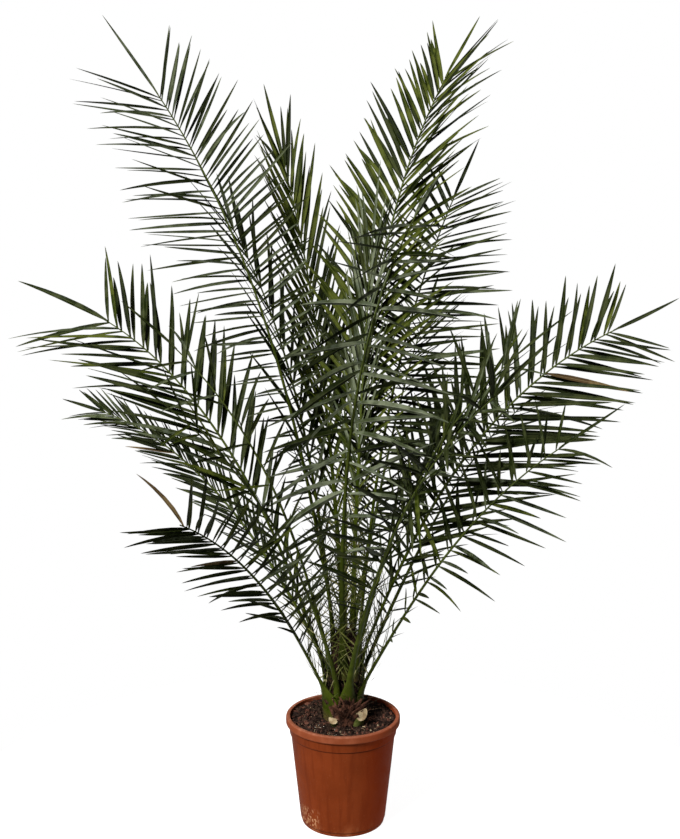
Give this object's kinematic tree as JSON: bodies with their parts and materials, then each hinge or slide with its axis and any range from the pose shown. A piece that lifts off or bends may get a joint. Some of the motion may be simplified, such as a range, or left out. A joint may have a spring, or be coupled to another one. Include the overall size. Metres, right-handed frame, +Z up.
{
  "type": "potted canary island date palm",
  "caption": "Young date palm with arching feather fronds on a short fibrous trunk, standing in a round tapered nursery pot filled with soil.",
  "frame": {"origin": "centre of the pot's flat underside", "axes": "+Z up along the pot's axis; -Y is the side the plant is seen from, +X to the right in that view"},
  "size_m": [1.7337, 1.6525, 2.1242],
  "materials": {
    "pot_plastic": "matte moulded plastic, terracotta colour",
    "soil": "damp potting soil with bark chips",
    "trunk_fibre": "coarse brown fibre and old leaf bases",
    "cut_stalk": "green stalk with a pale cut face",
    "frond": "dark green leaflets with a slight wax gloss"
  },
  "bodies": {
    "root": {"pot": "pot_plastic", "soil": "soil", "trunk": "trunk_fibre", "cut_stub_front_right": "cut_stalk", "cut_stub_front_left": "cut_stalk", "cut_stub_back": "cut_stalk", "frond_left_low": "frond", "frond_right_low": "frond", "frond_front_right": "frond", "frond_left_mid": "frond", "frond_back_left_low": "frond", "frond_back_right_low": "frond", "frond_back_low": "frond", "frond_right_mid": "frond", "frond_front_arching": "frond", "frond_left_inner": "frond", "frond_front_left": "frond", "frond_right_inner": "frond", "frond_back_right": "frond", "frond_back_left": "frond", "frond_right_back": "frond", "frond_left_tall": "frond", "frond_back_upright": "frond", "frond_right_tall": "frond"}
  },
  "joints": []
}
